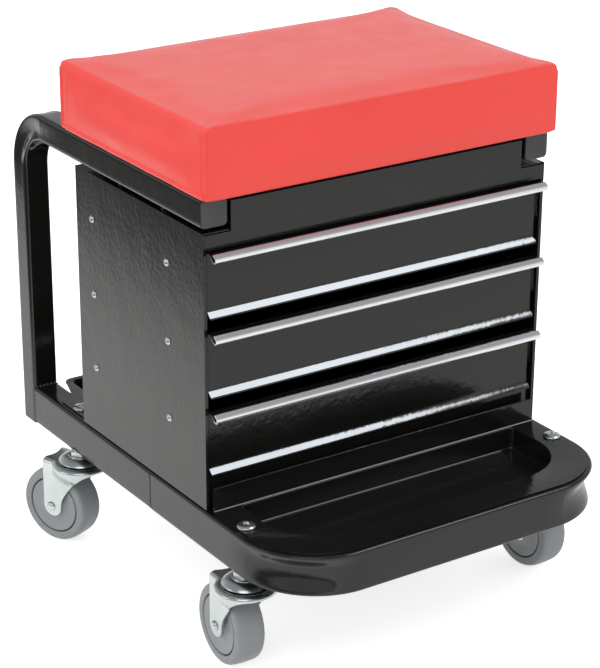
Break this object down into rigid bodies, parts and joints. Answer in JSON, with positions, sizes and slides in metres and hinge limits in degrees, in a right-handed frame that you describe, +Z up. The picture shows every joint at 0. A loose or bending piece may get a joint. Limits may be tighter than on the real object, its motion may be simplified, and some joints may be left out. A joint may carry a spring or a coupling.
{
  "type": "mechanic's roller seat",
  "caption": "Rolling workshop seat: padded red cushion on a square-tube frame around a drawer cabinet, with tool trays and swivel casters.",
  "frame": {"origin": "on the floor, under the middle of the frame", "axes": "+Z up, the drawers open towards -Y, +X to the right seen from behind the seat looking towards +Y"},
  "size_m": [0.4118, 0.477, 0.488],
  "materials": {
    "black_gloss_paint": "gloss",
    "bright_aluminium": "polished",
    "plain_steel": "satin",
    "cap_plastic": "satin",
    "plywood": "raw",
    "red_vinyl": "semi-gloss embossed vinyl",
    "zinc_plate": "bright zinc",
    "grey_core": "satin",
    "grey_tread": "satin"
  },
  "bodies": {
    "seat_frame": {"side_frame_left": "black_gloss_paint", "side_frame_right": "black_gloss_paint", "bumper_tube": "black_gloss_paint", "joint_sleeve_left": "plain_steel", "joint_sleeve_right": "plain_steel", "arm_cap_left": "cap_plastic", "arm_cap_right": "cap_plastic", "front_tray": "black_gloss_paint", "rear_tray": "black_gloss_paint", "tray_screw_front_left": "zinc_plate", "tray_screw_front_right": "zinc_plate", "tray_screw_rear_left": "zinc_plate", "tray_screw_rear_right": "zinc_plate", "cabinet_wrap": "black_gloss_paint", "cabinet_floor": "black_gloss_paint", "cabinet_header": "black_gloss_paint", "cabinet_top": "black_gloss_paint", "drawer_1_slide_left": "plain_steel", "drawer_1_slide_right": "plain_steel", "drawer_2_slide_left": "plain_steel", "drawer_2_slide_right": "plain_steel", "drawer_3_slide_left": "plain_steel", "drawer_3_slide_right": "plain_steel", "seat_board": "plywood", "seat_cushion": "red_vinyl", "seat_bolt_left_front": "zinc_plate", "seat_bolt_left_rear": "zinc_plate", "seat_bolt_right_front": "zinc_plate", "seat_bolt_right_rear": "zinc_plate", "caster_front_left_mount": "zinc_plate", "caster_front_right_mount": "zinc_plate", "caster_rear_left_mount": "zinc_plate", "caster_rear_right_mount": "zinc_plate"},
    "drawer_1": {"drawer_1_front": "black_gloss_paint", "drawer_1_pull": "bright_aluminium", "drawer_1_box": "black_gloss_paint"},
    "drawer_2": {"drawer_2_front": "black_gloss_paint", "drawer_2_pull": "bright_aluminium", "drawer_2_box": "black_gloss_paint"},
    "drawer_3": {"drawer_3_front": "black_gloss_paint", "drawer_3_pull": "bright_aluminium", "drawer_3_box": "black_gloss_paint"},
    "fork_front_left": {"caster_front_left_fork": "zinc_plate", "caster_front_left_axle": "zinc_plate"},
    "wheel_front_left": {"caster_front_left_hub": "grey_core", "caster_front_left_tyre": "grey_tread"},
    "fork_front_right": {"caster_front_right_fork": "zinc_plate", "caster_front_right_axle": "zinc_plate"},
    "wheel_front_right": {"caster_front_right_hub": "grey_core", "caster_front_right_tyre": "grey_tread"},
    "fork_rear_left": {"caster_rear_left_fork": "zinc_plate", "caster_rear_left_axle": "zinc_plate"},
    "wheel_rear_left": {"caster_rear_left_hub": "grey_core", "caster_rear_left_tyre": "grey_tread"},
    "fork_rear_right": {"caster_rear_right_fork": "zinc_plate", "caster_rear_right_axle": "zinc_plate"},
    "wheel_rear_right": {"caster_rear_right_hub": "grey_core", "caster_rear_right_tyre": "grey_tread"}
  },
  "joints": [
    {"name": "drawer_1_travel", "type": "slide", "parent": "seat_frame", "child": "drawer_1", "axis": [0, -1, 0], "range_m": [0, 0.17]},
    {"name": "drawer_2_travel", "type": "slide", "parent": "seat_frame", "child": "drawer_2", "axis": [0, -1, 0], "range_m": [0, 0.17]},
    {"name": "drawer_3_travel", "type": "slide", "parent": "seat_frame", "child": "drawer_3", "axis": [0, -1, 0], "range_m": [0, 0.17]},
    {"name": "swivel_front_left", "type": "hinge", "parent": "seat_frame", "child": "fork_front_left", "pos_m": [-0.1683, -0.1513, 0.0875], "axis": [0, 0, 1], "continuous": true},
    {"name": "spin_front_left", "type": "hinge", "parent": "fork_front_left", "child": "wheel_front_left", "pos_m": [-0.16714, -0.12583, 0.0375], "axis": [-0.999, 0.0454, 0], "continuous": true},
    {"name": "swivel_front_right", "type": "hinge", "parent": "seat_frame", "child": "fork_front_right", "pos_m": [0.1683, -0.1513, 0.0875], "axis": [0, 0, 1], "continuous": true},
    {"name": "spin_front_right", "type": "hinge", "parent": "fork_front_right", "child": "wheel_front_right", "pos_m": [0.16741, -0.12582, 0.0375], "axis": [-0.9994, -0.0349, 0], "continuous": true},
    {"name": "swivel_rear_left", "type": "hinge", "parent": "seat_frame", "child": "fork_rear_left", "pos_m": [-0.1705, 0.141, 0.0875], "axis": [0, 0, 1], "continuous": true},
    {"name": "spin_rear_left", "type": "hinge", "parent": "fork_rear_left", "child": "wheel_rear_left", "pos_m": [-0.18026, 0.16456, 0.0375], "axis": [-0.9239, -0.3827, 0], "continuous": true},
    {"name": "swivel_rear_right", "type": "hinge", "parent": "seat_frame", "child": "fork_rear_right", "pos_m": [0.1705, 0.141, 0.0875], "axis": [0, 0, 1], "continuous": true},
    {"name": "spin_rear_right", "type": "hinge", "parent": "fork_rear_right", "child": "wheel_rear_right", "pos_m": [0.18026, 0.16456, 0.0375], "axis": [0.9239, -0.3827, 0], "continuous": true}
  ]
}
